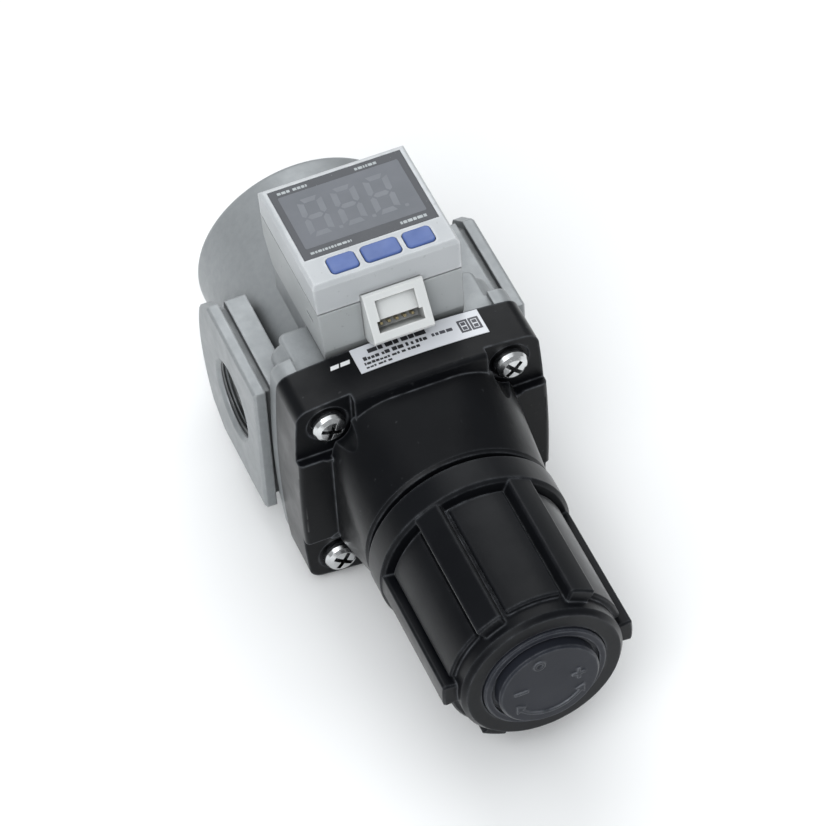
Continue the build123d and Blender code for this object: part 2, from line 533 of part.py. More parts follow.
def make_switch():
    shell = switch_form() - switch_form(WALL)
    case = shell & box(-20, 20, -30, 20, 10, SPLIT_Z)
    cover = shell & box(-20, 20, -30, 20, SPLIT_Z, 50)
    # parting groove
    groove = box(-20, 20, -30, 20, SPLIT_Z - 0.18, SPLIT_Z + 0.18) - switch_form(0.35)
    case -= groove
    cover -= groove
    # lip of the cover inside the case, on the two side walls
    for s in (-1, 1):
        xs = sorted((s * (SW_X - WALL - 1.35), s * (SW_X - WALL - 0.42)))
        cover += box(xs[0], xs[1], -10.0, 8.0, SPLIT_Z - 1.6, SPLIT_Z + 1.5)
        xt = sorted((s * (SW_X - WALL - 1.0), s * (SW_X - WALL + 0.3)))
        cover += box(xt[0], xt[1], -10.0, 8.0, SPLIT_Z + 0.5, SPLIT_Z + 1.5)
    # connector opening in the sloping face
    win_c = connector_form(0.05)
    case -= win_c
    cover -= win_c
    # thicker floor, fixing holes and sensor hole
    for sx in (-1, 1):
        case += box(sx * 9.9 - 2.3, sx * 9.9 + 2.3, 2.0, 7.0, SW_BASE + 0.5, SW_BASE + 2.4)
        case -= cyl_z(1.7, 10, 30, sx * 9.9, 4.6)
    case -= cyl_z(3.3, 10, 30, 0, -10.0)
    # snap notch low on the left and right walls
    for s in (-1, 1):
        xs = sorted((s * (SW_XB - 0.35), s * (SW_X + 1)))
        case -= box(xs[0], xs[1], -12.6, -9.4, 27.6, 28.4)
    # display window recess and opening
    x0, x1, y0, y1 = WIN
    cover -= box(x0 - 0.05, x1 + 0.05, y0 - 0.05, y1 + 0.05, SW_TOP - 1.0, SW_TOP + 1)
    cover -= box(x0 + 0.8, x1 - 0.8, y0 + 0.8, y1 - 0.8, SW_TOP - 3, SW_TOP)
    for name, (bx, hx) in BUTTONS.items():
        cover -= rrect_prism_z(bx - hx - 0.12, bx + hx + 0.12, BUTTON_Y - BUTTON_HY - 0.12, BUTTON_Y + BUTTON_HY + 0.12,
                               SW_TOP - 3, SW_TOP + 1, 0.95)
    keep("switch_case", solid_of(case))
    keep("switch_cover", solid_of(cover))

    w = rrect_prism_z(x0, x1, y0, y1, SW_TOP - 0.98, SW_TOP - 0.02, 0.3)
    keep("display_window", solid_of(w))

    for name, (bx, hx) in BUTTONS.items():
        b = rrect_prism_z(bx - hx, bx + hx, BUTTON_Y - BUTTON_HY, BUTTON_Y + BUTTON_HY, SW_TOP - 1.9, SW_TOP + 0.35, 0.85)
        b = fillet(b.edges().group_by(Axis.Z)[-1], 0.28)
        b += rrect_prism_z(bx - hx - 0.3, bx + hx + 0.3, BUTTON_Y - 0.75, BUTTON_Y + 0.75,
                           SW_TOP - 2.3, SW_TOP - 1.6, 0.3)
        b += cyl_z(0.8, SW_TOP - 3.2, SW_TOP - 2.0, bx, BUTTON_Y)
        keep(name, solid_of(b))

    # circuit board with its three tact switches
    zb = 34.6
    pcb = box(-11.1, 11.1, -12.0, 8.6, zb - 1.2, zb)
    for name, (bx, hx) in BUTTONS.items():
        pcb += box(bx - 1.5, bx + 1.5, -12.0, -9.0, zb - 0.05, zb + 0.9)
    for cx, cy, lx, ly in ((-7, 3, 5, 5), (4, 2, 6, 6), (-1, -4, 3, 2), (8.5, -3.5, 2.5, 3)):
        pcb += box(cx - lx / 2, cx + lx / 2, cy - ly / 2, cy + ly / 2, zb - 2.2, zb - 1.1)
    keep("circuit_board", solid_of(pcb))

    dm = box(-11.2, 11.2, -6.4, 7.8, zb + 0.02, SW_TOP - 1.45)
    dm = fillet(dm.edges().filter_by(Axis.Z), 0.4)
    keep("display_module", solid_of(dm))

    # pressure sensor: can, nozzle into the body
    sen = cyl_z(3.9, SW_BASE + WALL + 0.05, 27.2, 0, -8.9 - 1.1)
    sen += cyl_z(3.1, 18.6, SW_BASE + WALL + 0.4, 0, -10.0)
    sen -= cyl_z(0.8, 18, 24.5, 0, -10.0)
    sen -= Pos(0, -10.0, 20.6) * (Cylinder(4.0, 1.5) - Cylinder(2.2, 1.5))
    for sx in (-1, 1):
        for sy in (-1, 1):
            sen += cyl_z(0.3, 27.0, zb - 2.3 + 1.08, sx * 1.6, -9.4 + sy * 1.2)
    sen = sen & box(-20, 20, -13.3, 20, 0, 60)
    keep("pressure_sensor", solid_of(sen))
    keep("sensor_o_ring", solid_of(Pos(0, -10.0, 20.6) * Torus(2.68, 0.47)))

    scr = []
    for sx in (-1, 1):
        s = cyl_z(2.0, SW_BASE + 2.42, SW_BASE + 4.0, sx * 9.9, 4.6) + cyl_z(1.5, 16.6, SW_BASE + 3.0, sx * 9.9, 4.6)
        s -= box(sx * 9.9 - 1.4, sx * 9.9 + 1.4, 4.3, 4.9, SW_BASE + 3.2, SW_BASE + 5)
        s -= box(sx * 9.9 - 0.3, sx * 9.9 + 0.3, 3.2, 6.0, SW_BASE + 3.2, SW_BASE + 5)
        scr.append(solid_of(s))
    keep("switch_screws", *scr)


# connector: a block that leans out of the sloping face
CON_X0, CON_X1 = -5.6, 5.9
CON_TOP = (-16.8, 35.2)      # mouth plane, upper edge (y, z)
CON_BOT = (-22.3, 27.6)      # mouth plane, lower edge
CON_LOW = 24.7               # underside, clear of the bonnet and the label


def connector_axes():
    vy, vz = CON_TOP[0] - CON_BOT[0], CON_TOP[1] - CON_BOT[1]
    L = math.hypot(vy, vz)
    up = (vy / L, vz / L)
    out = (-up[1], up[0])      # out of the mouth: to -Y and +Z
    return up, out, L


def con_pt(u, w):
    """Point in (y, z): u up along the mouth from its lower edge, w out of it."""
    up, out, L = connector_axes()
    return (CON_BOT[0] + up[0] * u + out[0] * w, CON_BOT[1] + up[1] * u + out[1] * w)


def connector_form(c=0.0):
    L = connector_axes()[2]
    f = prism_x(poly([con_pt(-c, c), con_pt(L + c, c), con_pt(L + c, -8.6), con_pt(-c, -8.6)]), CON_X0 - c, CON_X1 + c)
    return f & box(-20, 20, -40, -13.4, CON_LOW - c, 60)


def make_connector():
    L = connector_axes()[2]
    blk = connector_form()
    e = [x for x in blk.edges().filter_by(Axis.X) if x.center().Y < -16.0]
    blk = chamfer(e, 0.4)
    wx, ws = 2.0, 1.4
    # shallow recess over a deep keyed slot
    cav = prism_x(poly([con_pt(3.9, 1), con_pt(L - 1.6, 1), con_pt(L - 1.6, -1.1), con_pt(3.9, -1.1)]),
                  CON_X0 + wx, CON_X1 - wx)
    slot = prism_x(poly([con_pt(1.9, 1), con_pt(4.0, 1), con_pt(4.0, -4.4), con_pt(1.9, -4.4)]), CON_X0 + ws, CON_X1 - ws)
    blk = blk - cav - slot
    keep("connector_socket", solid_of(blk))
    pins = []
    for n in range(5):
        x = (CON_X0 + CON_X1) / 2 + (n - 2) * 1.5
        p = prism_x(poly([con_pt(2.7, -2.6), con_pt(3.2, -2.6), con_pt(3.2, -4.36), con_pt(2.7, -4.36)]), x - 0.25, x + 0.25)
        pins.append(solid_of(p))
    keep("connector_pins", *pins)


def make_label():
    a = prism_y(bulged(-LABEL_T), LABEL_Y[0], LABEL_Y[1])
    b = prism_y(bulged(-0.005), LABEL_Y[0] - 1, LABEL_Y[1] + 1)
    lab = (a - b) & box(LABEL_X[0], LABEL_X[1], LABEL_Y[0], LABEL_Y[1], 5, 40)
    keep("label", solid_of(lab))


make_body()
make_bonnet()
make_bonnet_screws()
make_knob()
make_knob_cap()
make_adjusting()
make_diaphragm()
make_valve()
make_switch()
make_connector()
make_label()

os.makedirs("parts", exist_ok=True)
for name, shape in PARTS.items():
    export_step(shape, f"parts/{name}.step")
    print(name, len(shape.solids()), round(shape.volume, 1))
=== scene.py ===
import json
import math

import bmesh
import bpy
from mathutils import Matrix, Vector


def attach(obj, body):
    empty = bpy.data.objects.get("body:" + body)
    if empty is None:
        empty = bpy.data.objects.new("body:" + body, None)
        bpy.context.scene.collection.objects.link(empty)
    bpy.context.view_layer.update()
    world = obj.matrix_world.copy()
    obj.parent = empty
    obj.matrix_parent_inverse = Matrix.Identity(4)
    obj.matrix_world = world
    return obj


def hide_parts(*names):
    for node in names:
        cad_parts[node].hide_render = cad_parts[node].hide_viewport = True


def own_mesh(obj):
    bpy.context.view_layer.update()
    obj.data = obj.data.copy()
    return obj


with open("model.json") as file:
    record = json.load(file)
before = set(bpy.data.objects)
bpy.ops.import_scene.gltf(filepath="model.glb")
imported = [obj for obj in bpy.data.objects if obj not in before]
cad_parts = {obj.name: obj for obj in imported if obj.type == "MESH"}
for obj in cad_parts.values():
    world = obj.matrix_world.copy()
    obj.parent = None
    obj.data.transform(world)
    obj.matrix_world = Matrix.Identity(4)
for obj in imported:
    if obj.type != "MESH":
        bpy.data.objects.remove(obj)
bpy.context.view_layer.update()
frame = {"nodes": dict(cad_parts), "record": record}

NODES = frame["nodes"]
H = 25.0                      # back face to adjusting axis, mm


def V(x, y, z):
    """Millimetres about the adjusting axis to metres in the row frame."""
    return Vector((x / 1000.0, y / 1000.0, (z + H) / 1000.0))


# ---------------------------------------------------------------- materials
class Tree:
    """Small helper round a node tree."""

    def __init__(self, name):
        self.mat = bpy.data.materials.new(name)
        self.mat.use_nodes = True
        self.nt = self.mat.node_tree
        self.nt.nodes.clear()
        self.out = self.nt.nodes.new("ShaderNodeOutputMaterial")
        self.sh = self.nt.nodes.new("ShaderNodeBsdfPrincipled")
        self.nt.links.new(self.sh.outputs["BSDF"], self.out.inputs["Surface"])
        self.tc = self.nt.nodes.new("ShaderNodeTexCoord")
        self.pos = self.tc.outputs["Object"]

    def new(self, kind, **props):
        n = self.nt.nodes.new(kind)
        for k, v in props.items():
            setattr(n, k, v)
        return n

    def link(self, a, b):
        self.nt.links.new(a, b)

    def noise(self, scale, detail=2.0, rough=0.5, pos=None, dist=0.0, stretch=None):
        n = self.new("ShaderNodeTexNoise")
        n.inputs["Scale"].default_value = scale
        n.inputs["Detail"].default_value = detail
        n.inputs["Roughness"].default_value = rough
        n.inputs["Distortion"].default_value = dist
        src = pos or self.pos
        if stretch:
            m = self.new("ShaderNodeMapping")
            m.inputs["Scale"].default_value = stretch
            self.link(src, m.inputs["Vector"])
            src = m.outputs["Vector"]
        self.link(src, n.inputs["Vector"])
        return n.outputs["Fac"]

    def voronoi(self, scale, feature="F1"):
        n = self.new("ShaderNodeTexVoronoi", feature=feature)
        n.inputs["Scale"].default_value = scale
        self.link(self.pos, n.inputs["Vector"])
        return n.outputs["Distance"]

    def remap(self, src, a, b, lo, hi):
        n = self.new("ShaderNodeMapRange")
        n.inputs["From Min"].default_value = a
        n.inputs["From Max"].default_value = b
        n.inputs["To Min"].default_value = lo
        n.inputs["To Max"].default_value = hi
        self.link(src, n.inputs["Value"])
        return n.outputs["Result"]

    def math(self, op, a, b=None, c=None, clamp=False):
        n = self.new("ShaderNodeMath", operation=op, use_clamp=clamp)
        for i, v in enumerate((a, b, c)):
            if v is None:
                continue
            if isinstance(v, (int, float)):
                n.inputs[i].default_value = v
            else:
                self.link(v, n.inputs[i])
        return n.outputs["Value"]

    def mix(self, fac, a, b):
        n = self.new("ShaderNodeMix", data_type="RGBA")
        if isinstance(fac, (int, float)):
            n.inputs[0].default_value = fac
        else:
            self.link(fac, n.inputs[0])
        for i, v in ((6, a), (7, b)):
            if isinstance(v, (tuple, list)):
                n.inputs[i].default_value = (*v, 1.0)
            else:
                self.link(v, n.inputs[i])
        return n.outputs[2]

    def bevel(self, radius, samples=6):
        n = self.new("ShaderNodeBevel", samples=samples)
        n.inputs["Radius"].default_value = radius
        return n.outputs["Normal"]

    def bump(self, height, dist, strength=1.0, normal=None):
        n = self.new("ShaderNodeBump")
        n.inputs["Strength"].default_value = strength
        n.inputs["Distance"].default_value = dist
        self.link(height, n.inputs["Height"])
        if normal is not None:
            self.link(normal, n.inputs["Normal"])
        return n.outputs["Normal"]

    def grazing(self, low, high, blend=0.4):
        """Gloss that rises toward grazing angles."""
        n = self.new("ShaderNodeLayerWeight")
        n.inputs["Blend"].default_value = blend
        return self.remap(n.outputs["Facing"], 0.25, 0.95, low, high)

    def painted_corner_shade(self, dist, dark, samples=6, lo=0.25, hi=0.85):
        """Painted shade: dark in tight corners, 1 in the open."""
        n = self.new("ShaderNodeAmbientOcclusion", samples=samples, only_local=False)
        n.inputs["Distance"].default_value = dist
        return self.remap(n.outputs["AO"], lo, hi, dark, 1.0)

    def scale(self, col, fac):
        n = self.new("ShaderNodeVectorMath", operation="SCALE")
        self.link(col, n.inputs[0])
        self.link(fac, n.inputs["Scale"])
        return n.outputs["Vector"]

    def edges(self, radius, gain):
        """1 along convex and concave edges, 0 on the flats."""
        b = self.bevel(radius)
        g = self.new("ShaderNodeNewGeometry")
        d = self.new("ShaderNodeVectorMath", operation="DOT_PRODUCT")
        self.link(b, d.inputs[0])
        self.link(g.outputs["Normal"], d.inputs[1])
        inv = self.math("SUBTRACT", 1.0, d.outputs["Value"])
        return self.math("MULTIPLY", inv, gain, clamp=True)

    def split(self):
        n = self.new("ShaderNodeSeparateXYZ")
        self.link(self.pos, n.inputs[0])
        return n.outputs[0], n.outputs[1], n.outputs[2]


def surface(name, base, alt=None, alt_scale=30.0, rough=(0.4, 0.5), rough_scale=150.0, metal=0.0, grain=(),
            bevel=0.0002, edge=None, edge_gain=5.0, edge_radius=None, spec=0.5, coat=0.0, coat_rough=0.1,
            speck=None, sss=0.0, graze=None, corner_shade=None):
    """A general finish: colour drift, roughness drift, grain bump, softened edges, edge colour (wear, and on the black
    mouldings a painted edge highlight), specks and painted shade in corners.
    """
    t = Tree(name)
    alt = alt or tuple(min(1.0, c * 1.12) for c in base)
    drift = t.remap(t.noise(alt_scale, 3.0, 0.6), 0.35, 0.65, 0.0, 1.0)
    col = t.mix(drift, base, alt)
    if speck:
        scol, sscale, thr = speck
        v = t.noise(sscale, 1.0, 0.4)
        col = t.mix(t.remap(v, thr, thr + 0.05, 0.0, 1.0), col, scol)
    if edge:
        e = t.edges(edge_radius or bevel * 2.2, edge_gain)
        broken = t.remap(t.noise(500.0, 2.0), 0.3, 0.7, 0.25, 1.0)
        col = t.mix(t.math("MULTIPLY", e, broken, clamp=True), col, edge)
    # painted shade: the colour is darkened in tight corners
    if corner_shade:
        col = t.scale(col, t.painted_corner_shade(*corner_shade))
    t.link(col, t.sh.inputs["Base Color"])
    r = t.remap(t.noise(rough_scale, 3.0, 0.6), 0.3, 0.7, rough[0], rough[1])
    t.link(r, t.sh.inputs["Roughness"])
    t.sh.inputs["Metallic"].default_value = metal
    t.sh.inputs["Specular IOR Level"].default_value = spec
    if graze:
        t.link(t.grazing(*graze), t.sh.inputs["Specular IOR Level"])
    t.sh.inputs["Coat Weight"].default_value = coat
    t.sh.inputs["Coat Roughness"].default_value = coat_rough
    if sss:
        t.sh.inputs["Subsurface Weight"].default_value = sss
        t.sh.inputs["Subsurface Radius"].default_value = (0.001, 0.001, 0.001)
        t.sh.inputs["Subsurface Scale"].default_value = 0.5
    nrm = t.bevel(bevel) if bevel else None
    for scale, dist, detail in grain:
        nrm = t.bump(t.noise(scale, detail, 0.55), dist, 1.0, nrm)
    if nrm is not None:
        t.link(nrm, t.sh.inputs["Normal"])
    return t


MATS = {}


def cast_body():
    t = Tree("cast_body")
    big = t.remap(t.noise(22.0, 3.0, 0.6), 0.35, 0.65, 0.0, 1.0)
    col = t.mix(big, (0.238, 0.252, 0.260), (0.279, 0.293, 0.303))
    fine = t.remap(t.noise(700.0, 2.0, 0.6), 0.3, 0.7, 0.0, 1.0)
    col = t.mix(t.math("MULTIPLY", fine, 0.22), col, (0.38, 0.395, 0.40))
    # light handling marks, and painted shade in the corners
    mark = t.remap(t.noise(60.0, 4.0, 0.7, stretch=(1.0, 0.35, 1.0)), 0.60, 0.72, 0.0, 0.35)
    col = t.mix(mark, col, (0.235, 0.245, 0.25))
    e = t.edges(0.0011, 3.2)
    broken = t.remap(t.noise(420.0, 2.0), 0.3, 0.7, 0.2, 0.85)
    col = t.mix(t.math("MULTIPLY", e, broken, clamp=True), col, (0.52, 0.535, 0.545))
    # painted shade: darker in tight corners, then across the wider gaps between parts
    col = t.scale(col, t.painted_corner_shade(0.0022, 0.62, 6))
    col = t.scale(col, t.painted_corner_shade(0.009, 0.55, 8, 0.12, 0.62))
    t.link(col, t.sh.inputs["Base Color"])
    t.link(t.remap(t.noise(260.0, 3.0, 0.6), 0.3, 0.7, 0.36, 0.50), t.sh.inputs["Roughness"])
    t.sh.inputs["Metallic"].default_value = 0.25
    t.sh.inputs["Specular IOR Level"].default_value = 0.5
    n = t.bevel(0.00055, 8)
    n = t.bump(t.noise(330.0, 3.0, 0.6), 0.00006, 1.0, n)
    n = t.bump(t.noise(1500.0, 2.0, 0.6), 0.000016, 1.0, n)
    t.link(n, t.sh.inputs["Normal"])
    return t.mat


def black_moulding(name, base, alt, rough, edge, grain=0.000010, glossy=0.0):
    # the edge colour is a painted highlight along the edges, broken up like wear
    t = surface(name, base, alt, 40.0, rough, 120.0, grain=((1800.0, grain, 2.0), (260.0, 0.00002, 3.0)),
                bevel=0.00032, edge=edge, edge_gain=4.0, edge_radius=0.0007, graze=(0.11, 0.62), coat=glossy, coat_rough=0.25,
                speck=((0.020, 0.021, 0.023), 900.0, 0.74))
    return t.mat


def knob_finish():
    """Black moulding, with faint flow lines along the grip and a painted highlight along its edges."""
    t = Tree("knob_resin")
    drift = t.remap(t.noise(40.0, 3.0, 0.6), 0.35, 0.65, 0.0, 1.0)
    col = t.mix(drift, (0.0036, 0.0040, 0.0051), (0.0062, 0.0068, 0.0083))
    # painted highlight: edges lightened, broken up like wear
    e = t.edges(0.0009, 2.6)
    broken = t.remap(t.noise(480.0, 2.0), 0.3, 0.7, 0.25, 1.0)
    col = t.mix(t.math("MULTIPLY", e, broken, clamp=True), col, (0.13, 0.137, 0.15))
    t.link(t.grazing(0.09, 0.60), t.sh.inputs["Specular IOR Level"])
    t.link(col, t.sh.inputs["Base Color"])
    t.link(t.remap(t.noise(130.0, 3.0, 0.6), 0.3, 0.7, 0.30, 0.42), t.sh.inputs["Roughness"])
    n = t.bevel(0.0003, 6)
    n = t.bump(t.noise(90.0, 2.0, 0.5, stretch=(6.0, 1.0, 6.0)), 0.00002, 1.0, n)
    n = t.bump(t.noise(1700.0, 2.0, 0.6), 0.000008, 1.0, n)
    t.link(n, t.sh.inputs["Normal"])
    return t.mat


def turned(name, base, alt, rough=(0.22, 0.34), axis="Y", metal=1.0):
    """Turned metal: fine rings about the Y axis."""
    t = Tree(name)
    x, y, z = t.split()
    drift = t.remap(t.noise(120.0, 3.0, 0.6), 0.35, 0.65, 0.0, 1.0)
    t.link(t.mix(drift, base, alt), t.sh.inputs["Base Color"])
    t.link(t.remap(t.noise(300.0, 2.0, 0.6), 0.3, 0.7, rough[0], rough[1]), t.sh.inputs["Roughness"])
    t.sh.inputs["Metallic"].default_value = metal
    stretch = {"Y": (0.15, 9.0, 0.15), "X": (9.0, 0.15, 0.15), "Z": (0.15, 0.15, 9.0)}[axis]
    n = t.bevel(0.00015, 4)
    n = t.bump(t.noise(900.0, 2.0, 0.5, stretch=stretch), 0.000008, 1.0, n)
    t.link(n, t.sh.inputs["Normal"])
    return t.mat


MATS["cast_body"] = cast_body()
MATS["black_resin"] = black_moulding("black_resin", (0.0026, 0.0029, 0.0038), (0.0045, 0.0050, 0.0062), (0.28, 0.42),
                                     (0.13, 0.137, 0.15))
MATS["knob_resin"] = knob_finish()
# lighter, bluer black than the other mouldings: a painted reflection on the knob's end cap
MATS["cap_resin"] = black_moulding("cap_resin", (0.013, 0.0145, 0.020), (0.019, 0.021, 0.028), (0.32, 0.44),
                                   (0.17, 0.178, 0.195))
# painted shade in the tight corners round the screws
MATS["bright_screws"] = surface("bright_screws", (0.56, 0.57, 0.575), (0.68, 0.69, 0.695), 400.0, (0.14, 0.28), 900.0, 1.0,
                                grain=((1200.0, 0.000012, 2.0),), bevel=0.00012, edge=(0.85, 0.86, 0.86), edge_gain=4.0, corner_shade=(0.0015, 0.25)).mat
MATS["label_film"] = surface("label_film", (0.585, 0.600, 0.635), (0.635, 0.648, 0.680), 60.0, (0.30, 0.42), 200.0,
                             grain=((700.0, 0.000006, 2.0),), bevel=0.00008, coat=0.3, coat_rough=0.25).mat
# painted shade in the corners of the switch case
MATS["case_resin"] = surface("case_resin", (0.345, 0.362, 0.366), (0.385, 0.400, 0.405), 45.0, (0.40, 0.52), 160.0,
                             grain=((1500.0, 0.000010, 2.0), (240.0, 0.00002, 2.0)), bevel=0.00035,
                             edge=(0.52, 0.535, 0.545), edge_gain=3.0, edge_radius=0.0009, corner_shade=(0.002, 0.6),
                             speck=((0.30, 0.31, 0.315), 1200.0, 0.72)).mat
MATS["cover_resin"] = surface("cover_resin", (0.430, 0.448, 0.462), (0.475, 0.490, 0.505), 45.0, (0.36, 0.48), 160.0,
                              grain=((1500.0, 0.000009, 2.0), (240.0, 0.000018, 2.0)), bevel=0.0003,
                              edge=(0.74, 0.755, 0.77), edge_gain=4.0, edge_radius=0.0010,
                              speck=((0.38, 0.395, 0.405), 1200.0, 0.72)).mat
MATS["dark_window"] = surface("dark_window", (0.026, 0.029, 0.037), (0.036, 0.040, 0.049), 50.0, (0.10, 0.20), 90.0,
                              grain=((60.0, 0.00002, 1.0),), bevel=0.0001, spec=0.28, coat=0.05, coat_rough=0.08,
                              speck=((0.10, 0.105, 0.115), 2400.0, 0.74)).mat
MATS["blue_rubber"] = surface("blue_rubber", (0.060, 0.108, 0.300), (0.078, 0.132, 0.350), 200.0, (0.38, 0.52), 300.0,
                              grain=((1600.0, 0.000012, 2.0),), bevel=0.0003, edge=(0.045, 0.08, 0.30), edge_gain=3.0,
                              edge_radius=0.0008).mat
# painted shade in the corners of the connector socket
MATS["socket_resin"] = surface("socket_resin", (0.590, 0.605, 0.600), (0.640, 0.652, 0.648), 60.0, (0.34, 0.46), 200.0,
                               grain=((1500.0, 0.000008, 2.0),), bevel=0.00028, edge=(0.90, 0.90, 0.88), edge_gain=3.0,
                               edge_radius=0.0007, corner_shade=(0.0025, 0.35)).mat
MATS["contact_metal"] = turned("contact_metal", (0.52, 0.43, 0.24), (0.60, 0.50, 0.30), (0.18, 0.28), "Z")
MATS["module_resin"] = surface("module_resin", (0.10, 0.10, 0.115), None, 60.0, (0.4, 0.5), grain=((1500.0, 0.00001, 2.0),)).mat
MATS["board_laminate"] = surface("board_laminate", (0.018, 0.10, 0.045), (0.03, 0.15, 0.07), 260.0, (0.28, 0.42), 400.0,
                                 grain=((2200.0, 0.00002, 1.0),), bevel=0.00008, speck=((0.5, 0.42, 0.2), 1100.0, 0.70)).mat
MATS["sensor_metal"] = turned("sensor_metal", (0.60, 0.60, 0.61), (0.70, 0.70, 0.71), (0.24, 0.36), "Z")
MATS["seal_rubber"] = surface("seal_rubber", (0.012, 0.012, 0.012), (0.02, 0.02, 0.02), 90.0, (0.5, 0.65),
                              grain=((1500.0, 0.00001, 2.0),), bevel=0.0).mat
MATS["diaphragm_rubber"] = surface("diaphragm_rubber", (0.018, 0.018, 0.017), (0.03, 0.03, 0.028), 90.0, (0.55, 0.7),
                                   grain=((2600.0, 0.00003, 1.0),), bevel=0.0001).mat
MATS["small_screws"] = turned("small_screws", (0.62, 0.62, 0.61), (0.72, 0.72, 0.71), (0.22, 0.34), "Z")
MATS["screw_steel"] = turned("screw_steel", (0.60, 0.585, 0.52), (0.70, 0.685, 0.62))
MATS["spring_steel"] = surface("spring_steel", (0.16, 0.16, 0.17), (0.24, 0.24, 0.25), 300.0, (0.3, 0.42), 400.0, 1.0,
                               grain=((1500.0, 0.00001, 2.0),), bevel=0.0).mat
MATS["nut_brass"] = turned("nut_brass", (0.70, 0.53, 0.24), (0.78, 0.62, 0.31))
MATS["spring_stainless"] = surface("spring_stainless", (0.62, 0.62, 0.62), (0.7, 0.7, 0.7), 300.0, (0.2, 0.3), 400.0, 1.0,
                                   grain=((1500.0, 0.00001, 2.0),), bevel=0.0).mat
MATS["seat_zinc"] = surface("seat_zinc", (0.52, 0.52, 0.51), (0.60, 0.60, 0.58), 200.0, (0.32, 0.46), 300.0, 1.0,
                            grain=((900.0, 0.00002, 2.0),), bevel=0.0002).mat
MATS["stem_brass"] = turned("stem_brass", (0.72, 0.56, 0.27), (0.80, 0.65, 0.34), (0.14, 0.24))
MATS["guide_resin"] = black_moulding("guide_resin", (0.016, 0.016, 0.017), (0.024, 0.024, 0.026), (0.42, 0.55),
                                     (0.07, 0.07, 0.072))

SLOT_OF = {s["node"]: s["material_slot"] for s in frame["record"]["subparts"]}
for n, o in NODES.items():
    o.data.materials.clear()
    o.data.materials.append(MATS[SLOT_OF[n]])


# ---------------------------------------------------------------- mesh helpers
def make(name, verts, faces, mat, body, smooth=False):
    me = bpy.data.meshes.new(name)
    me.from_pydata([tuple(v) for v in verts], [], faces)
    me.validate()
    me.update()
    bm = bmesh.new()
    bm.from_mesh(me)
    bmesh.ops.recalc_face_normals(bm, faces=bm.faces)
    bm.to_mesh(me)
    bm.free()
    for p in me.polygons:
        p.use_smooth = smooth
    ob = bpy.data.objects.new(name, me)
    bpy.context.scene.collection.objects.link(ob)
    me.materials.append(mat)
    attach(ob, body)
    return ob


class Slabs:
    """Collects thin printed or raised slabs into one mesh. low and high give the slab's two faces."""

    def __init__(self):
        self.v, self.f = [], []

    def add(self, outline, place, low, high, inset=0.02):
        """outline: (a, b) points in mm; place(a, b, h) gives the point at height h above the surface."""
        n = len(outline)
        ca = sum(p[0] for p in outline) / n
        cb = sum(p[1] for p in outline) / n
        i0 = len(self.v)
        for p in outline:
            self.v.append(place(p[0], p[1], low))
        for p in outline:
            self.v.append(place(p[0], p[1], high - inset * 0.5))
        for p in outline:
            da, db = p[0] - ca, p[1] - cb
            L = math.hypot(da, db) or 1.0
            k = max(0.0, 1 - inset / L)
            self.v.append(place(ca + da * k, cb + db * k, high))
        for lay in (0, 1):
            for i in range(n):
                j = (i + 1) % n
                a, b = i0 + lay * n + i, i0 + lay * n + j
                self.f.append((a, b, b + n, a + n))
        self.f.append(tuple(i0 + 2 * n + i for i in range(n)))
        self.f.append(tuple(i0 + i for i in reversed(range(n))))


def rrect(x0, x1, y0, y1, r=0.12, k=3):
    pts = []
    for cx, cy, a0 in ((x1 - r, y1 - r, 0), (x0 + r, y1 - r, 90), (x0 + r, y0 + r, 180), (x1 - r, y0 + r, 270)):
        for i in range(k + 1):
            a = math.radians(a0 + 90.0 * i / k)
            pts.append((cx + r * math.cos(a), cy + r * math.sin(a)))
    return pts


# ---------------------------------------------------------------- port threads
def port_thread(name, origin, out, up, r_wall, depth, pitch, length, body):
    """A helical ridge on the wall of a tapped port, running in from its mouth."""
    out, up = Vector(out), Vector(up)
    side = out.cross(up)
    turns = length / pitch
    seg = 72
    n = int(turns * seg)
    prof = ((0.05, -0.47), (-depth * 0.82, -0.09), (-depth, 0.0), (-depth * 0.82, 0.09), (0.05, 0.47))
    verts, faces = [], []
    for i in range(n + 1):
        s = i / seg
        a = 2 * math.pi * s
        fade = min(1.0, s / 0.5, (turns - s) / 0.5)
        for dr, dx in prof:
            r = r_wall + (dr if dr > 0 else dr * fade)
            w = (s + dx * (0.35 + 0.65 * fade)) * pitch
            p = out * (-w) + (up * math.cos(a) + side * math.sin(a)) * r
            verts.append(V(*(Vector(origin) + p)))
    k = len(prof)
    for i in range(n):
        for j in range(k - 1):
            a = i * k + j
            faces.append((a, a + 1, a + 1 + k, a + k))
        a = i * k
        faces.append((a + k - 1, a, a + k, a + 2 * k - 1))
    faces.append(tuple(range(k)))
    faces.append(tuple(n * k + j for j in reversed(range(k))))
    return make(name, verts, faces, MATS["cast_thread"], body, smooth=True)


# dark thread colour: painted shade inside the ports; its light crests are a painted highlight
t = surface("cast_thread", (0.10, 0.103, 0.105), (0.16, 0.163, 0.165), 90.0, (0.28, 0.4), 200.0, 0.8,
            grain=((1500.0, 0.00001, 2.0),), bevel=0.00008, edge=(0.7, 0.7, 0.7), edge_gain=2.0, edge_radius=0.0002)
MATS["cast_thread"] = t.mat
P38 = 25.4 / 19
for sgn, nm in ((-1, "left"), (1, "right")):
    port_thread("thread_" + nm, (sgn * 25.6, 0, 0), (sgn, 0, 0), (0, 0, 1), 7.475, 0.62, P38, 10.6, "body")
port_thread("thread_outlet", (0, 0, -24.6), (0, 0, -1), (0, 1, 0), 7.475, 0.62, P38, 6.4, "body")

# ---------------------------------------------------------------- label print
LAB_R, LAB_TOP = 171.2, 24.25


